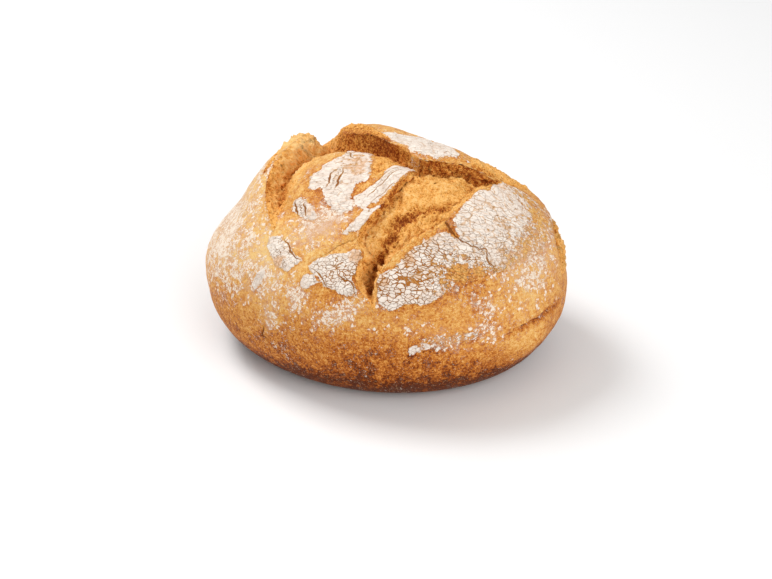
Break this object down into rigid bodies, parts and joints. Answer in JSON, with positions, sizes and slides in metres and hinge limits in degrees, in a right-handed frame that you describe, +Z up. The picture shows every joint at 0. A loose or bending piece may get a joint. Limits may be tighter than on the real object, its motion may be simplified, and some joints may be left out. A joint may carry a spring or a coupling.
{
  "type": "bread roll",
  "caption": "Round rustic crusty bread roll, a domed loaf with burst, floury crust and torn crumb, that rests on its flat base.",
  "frame": {"origin": "on the base plane, under the middle of the roll's bounding box", "axes": "+Z up from the flat base to the crown, -Y to the front, where the largest burst runs down, +X to the right"},
  "size_m": [0.1194, 0.1068, 0.0696],
  "materials": {
    "crust": "matte baked crust, golden to orange-brown, dusted with white flour, with golden torn crumb in its bursts"
  },
  "bodies": {
    "root": {"bread_roll": "crust"}
  },
  "joints": []
}
